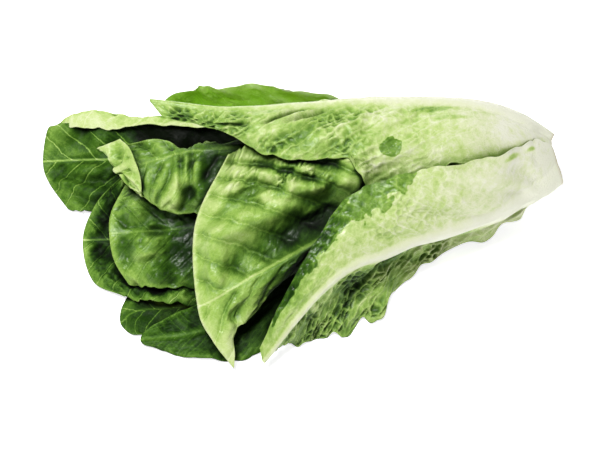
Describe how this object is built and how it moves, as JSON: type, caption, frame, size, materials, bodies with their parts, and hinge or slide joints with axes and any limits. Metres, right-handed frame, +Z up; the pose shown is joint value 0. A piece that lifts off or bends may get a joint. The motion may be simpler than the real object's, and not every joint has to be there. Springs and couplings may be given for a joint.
{
  "type": "romaine lettuce head",
  "caption": "Head of romaine lettuce lying on its side, its crinkled leaves clasping a short cut stem and fanning open at their tips.",
  "frame": {"origin": "on the surface that the head lies on, under the middle of its bounding box", "axes": "+X runs from the leaf tips to the cut butt, +Y towards the side that is hidden behind the head, +Z up from the surface"},
  "size_m": [0.3073, 0.1665, 0.0853],
  "materials": {
    "outer_leaf": "waxy pale green leaf with a creamy rib",
    "inner_leaf": "glossy deep green leaf with pale veins",
    "heart_leaf": "pale yellow-green young leaf",
    "stem": "cream cut stem with tan edges"
  },
  "bodies": {
    "root": {"stem": "stem", "leaf_front_top": "outer_leaf", "leaf_front_low": "outer_leaf", "leaf_cupped": "inner_leaf", "leaf_folded_tip": "inner_leaf", "leaf_round": "inner_leaf", "leaf_notched": "inner_leaf", "leaf_long_back": "inner_leaf", "leaf_back_top": "outer_leaf", "leaf_near_side": "inner_leaf", "leaf_near_tip": "inner_leaf", "leaf_underneath": "outer_leaf", "heart_leaf_outer": "heart_leaf", "heart_leaf_middle": "heart_leaf", "heart_leaf_inner": "heart_leaf"}
  },
  "joints": []
}
